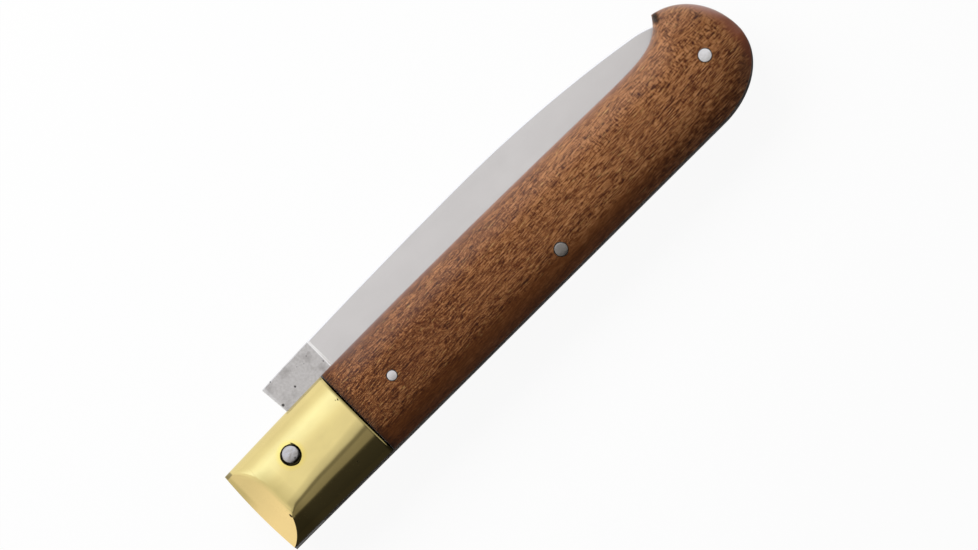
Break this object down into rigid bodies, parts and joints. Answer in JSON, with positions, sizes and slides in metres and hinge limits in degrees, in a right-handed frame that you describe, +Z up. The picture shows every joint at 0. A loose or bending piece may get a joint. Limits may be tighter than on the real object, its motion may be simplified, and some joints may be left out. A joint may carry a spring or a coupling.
{
  "type": "folding pocket knife",
  "caption": "Folding pocket knife, closed: a broad blade turns out from between steel liners on one pin and is held open or shut by a backspring, in a wood handle with brass bolsters.",
  "frame": {"origin": "middle of the knife's underside as it lies on its side", "axes": "+X along the handle towards the butt, +Y towards the spine of the closed blade, +Z up through the thickness"},
  "size_m": [0.1246, 0.026, 0.0148],
  "materials": {
    "blade_steel": "satin-ground carbon steel",
    "spring_steel": "ground and lightly darkened",
    "liner_steel": "ground",
    "bolster_brass": "polished",
    "scale_wood": "oiled hardwood with short dark pores",
    "pin_steel": "filed and polished"
  },
  "bodies": {
    "handle": {"backspring": "spring_steel", "upper_liner": "liner_steel", "lower_liner": "liner_steel", "upper_bolster": "bolster_brass", "lower_bolster": "bolster_brass", "upper_scale": "scale_wood", "lower_scale": "scale_wood", "pivot_pin": "pin_steel", "spring_pin": "pin_steel", "butt_pin": "pin_steel", "upper_scale_rivet": "pin_steel", "lower_scale_rivet": "pin_steel", "upper_front_bolster_rivet": "bolster_brass", "lower_front_bolster_rivet": "bolster_brass", "upper_rear_bolster_rivet": "bolster_brass", "lower_rear_bolster_rivet": "bolster_brass"},
    "blade": {"blade": "blade_steel"}
  },
  "joints": [
    {"name": "blade_pivot", "type": "hinge", "parent": "handle", "child": "blade", "pos_m": [-0.05046, -0.00067, 0.0074], "axis": [0, 0, 1], "range_deg": [0, 180], "deforming": ["backspring"]}
  ]
}
